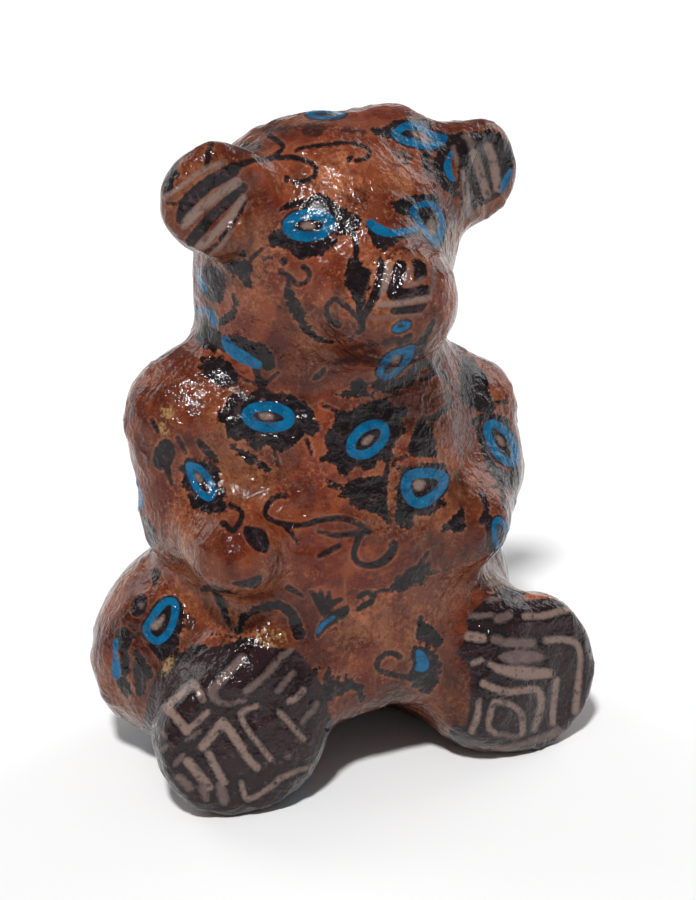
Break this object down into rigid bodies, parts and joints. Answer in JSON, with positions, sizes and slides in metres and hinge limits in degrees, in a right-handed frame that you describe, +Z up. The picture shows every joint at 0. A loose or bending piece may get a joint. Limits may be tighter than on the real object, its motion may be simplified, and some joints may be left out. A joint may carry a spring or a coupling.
{
  "type": "papier-mache bear figure",
  "caption": "Seated papier-mache bear figure with round ears, a short muzzle and forward legs, pasted with printed paper and varnished.",
  "frame": {"origin": "on the ground, under the middle of the figure's bounding box", "axes": "+Z up, the bear looks along -Y, and its left side is +X"},
  "size_m": [0.128, 0.0942, 0.1739],
  "materials": {
    "decoupage_paper": "brown printed paper in pasted scraps, with dark foliage, blue rings and maze bands, under thick gloss varnish"
  },
  "bodies": {
    "root": {"bear": "decoupage_paper"}
  },
  "joints": []
}
